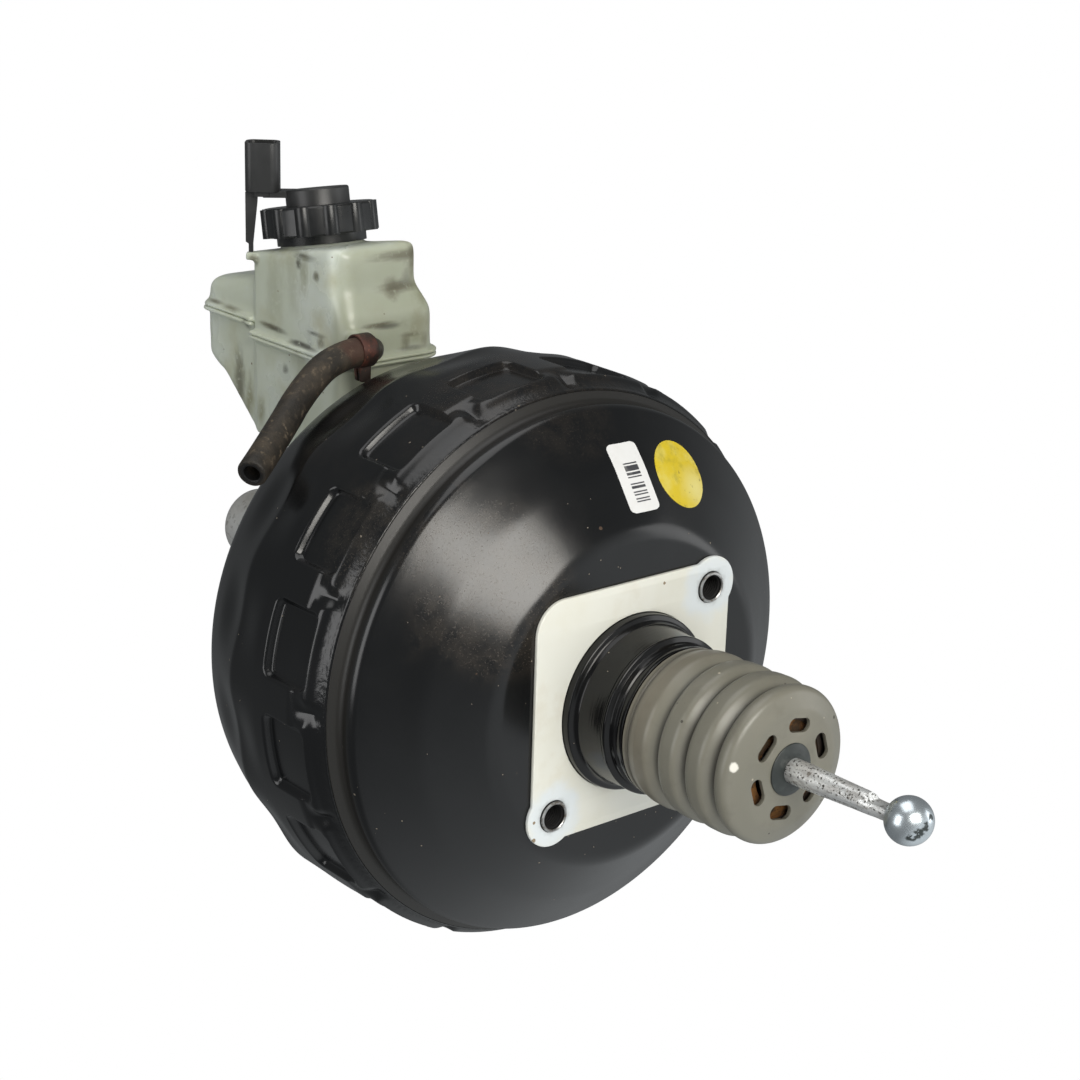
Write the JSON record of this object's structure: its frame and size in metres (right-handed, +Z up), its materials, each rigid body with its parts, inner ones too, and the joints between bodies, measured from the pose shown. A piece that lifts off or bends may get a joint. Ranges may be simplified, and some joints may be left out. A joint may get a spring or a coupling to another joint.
{
  "type": "brake_booster",
  "caption": "Single-diaphragm vacuum brake booster with tandem master cylinder, fluid reservoir, level-sensor cap and clutch feed hose",
  "frame": {"origin": "centre of the bulkhead gasket's rear face, on the booster axis", "axes": "+Y along the booster axis towards the master cylinder, -Y towards the brake pedal, +Z up to the reservoir cap, +X to the right seen from the pedal"},
  "size_m": [0.2663, 0.4742, 0.342],
  "materials": {
    "black_paint": "semi-gloss black paint over pressed steel",
    "gasket_card": "off-white fibre gasket, faintly stained",
    "black_steel": "glossy black painted steel",
    "bare_steel": "zinc-plated steel, worn",
    "spring_steel": "oiled spring steel",
    "cast_aluminium": "cast and machined aluminium",
    "black_rubber": "black moulded rubber",
    "boot_rubber": "grey-olive moulded rubber, satin",
    "hose_rubber": "weathered fabric-textured rubber",
    "phenolic": "dark moulded phenolic plastic",
    "black_plastic": "black moulded plastic",
    "tank_plastic": "milky translucent polypropylene, aged",
    "float_foam": "closed-cell plastic foam",
    "filter_foam": "oiled orange-brown air filter foam",
    "rusty_steel": "rusted spring steel",
    "brass": "tin-plated brass"
  },
  "bodies": {
    "casing": {"front_shell": "black_paint", "rear_shell": "black_paint", "mounting_gasket": "gasket_card", "mounting_sockets": "bare_steel", "neck_sleeve": "black_steel", "guide_seal": "black_rubber", "guide_ring": "phenolic", "return_spring": "spring_steel", "dust_boot": "boot_rubber", "master_cylinder_body": "cast_aluminium", "spigot_o_ring": "black_rubber", "primary_spring": "spring_steel", "secondary_spring": "spring_steel", "cylinder_studs": "bare_steel", "flange_nuts": "bare_steel", "reservoir_grommets": "black_rubber", "reservoir_lower": "tank_plastic", "reservoir_upper": "tank_plastic", "reservoir_pin": "bare_steel", "feed_hose": "hose_rubber", "hose_clamp": "rusty_steel", "valve_grommet": "black_rubber", "check_valve": "black_plastic"},
    "power_piston": {"valve_body": "phenolic", "diaphragm_plate": "bare_steel", "diaphragm": "black_rubber", "reaction_disc": "black_rubber", "output_push_rod": "bare_steel", "output_rod_tip": "bare_steel", "poppet_valve": "black_rubber", "poppet_retainer": "bare_steel", "poppet_spring": "spring_steel", "air_filter": "filter_foam", "filter_ring": "black_plastic"},
    "valve_plunger_body": {"valve_plunger": "bare_steel"},
    "input_rod": {"input_push_rod": "bare_steel", "rod_return_spring": "spring_steel", "rod_bush": "black_rubber"},
    "primary_piston_body": {"primary_piston": "cast_aluminium", "primary_cups": "black_rubber"},
    "secondary_piston_body": {"secondary_piston": "cast_aluminium", "secondary_cups": "black_rubber"},
    "cap_insert": {"level_sensor": "black_plastic", "sensor_pins": "brass", "cap_seal": "black_rubber"},
    "cap_ring_body": {"cap_ring": "black_plastic"},
    "float_body": {"level_float": "float_foam"},
    "check_disc": {"check_valve_disc": "black_rubber"}
  },
  "joints": [
    {"name": "booster_stroke", "type": "slide", "parent": "casing", "child": "power_piston", "axis": [0, 1, 0], "range_m": [0, 0.03], "stiffness_N_per_m": 5000, "springref_m": -0.02, "deforming": ["diaphragm", "return_spring", "dust_boot"]},
    {"name": "valve_stroke", "type": "slide", "parent": "power_piston", "child": "valve_plunger_body", "axis": [0, 1, 0], "range_m": [0, 0.0015], "stiffness_N_per_m": 1500, "deforming": ["poppet_spring", "rod_return_spring"]},
    {"name": "rod_tilt", "type": "hinge", "parent": "valve_plunger_body", "child": "input_rod", "pos_m": [0, -0.012, 0], "axis": [1, 0, 0], "range_deg": [-2, 3], "stiffness_Nm_per_rad": 2, "deforming": ["rod_return_spring"]},
    {"name": "primary_stroke", "type": "slide", "parent": "casing", "child": "primary_piston_body", "axis": [0, 1, 0], "range_m": [0, 0.03], "deforming": ["primary_spring"]},
    {"name": "secondary_stroke", "type": "slide", "parent": "casing", "child": "secondary_piston_body", "axis": [0, 1, 0], "range_m": [0, 0.015], "deforming": ["secondary_spring"]},
    {"name": "cap_lift", "type": "slide", "parent": "casing", "child": "cap_insert", "axis": [0, 0.1822, 0.9833], "range_m": [0, 0.0075]},
    {"name": "cap_turn", "type": "hinge", "parent": "cap_insert", "child": "cap_ring_body", "pos_m": [-0.0026, 0.23479, 0.17164], "axis": [0, 0.1822, 0.9833], "range_deg": [0, 450]},
    {"name": "float_rise", "type": "slide", "parent": "cap_insert", "child": "float_body", "axis": [0, 0.1822, 0.9833], "range_m": [0, 0.03]},
    {"name": "check_valve_lift", "type": "slide", "parent": "casing", "child": "check_disc", "axis": [0, 1, 0], "range_m": [0, 0.002], "stiffness_N_per_m": 50}
  ],
  "couplings": [
    {"joint": "primary_stroke", "follows": "booster_stroke", "ratio": 1},
    {"joint": "secondary_stroke", "follows": "booster_stroke", "ratio": 0.5},
    {"joint": "cap_turn", "follows": "cap_lift", "rad_per_m": 1047.2}
  ]
}
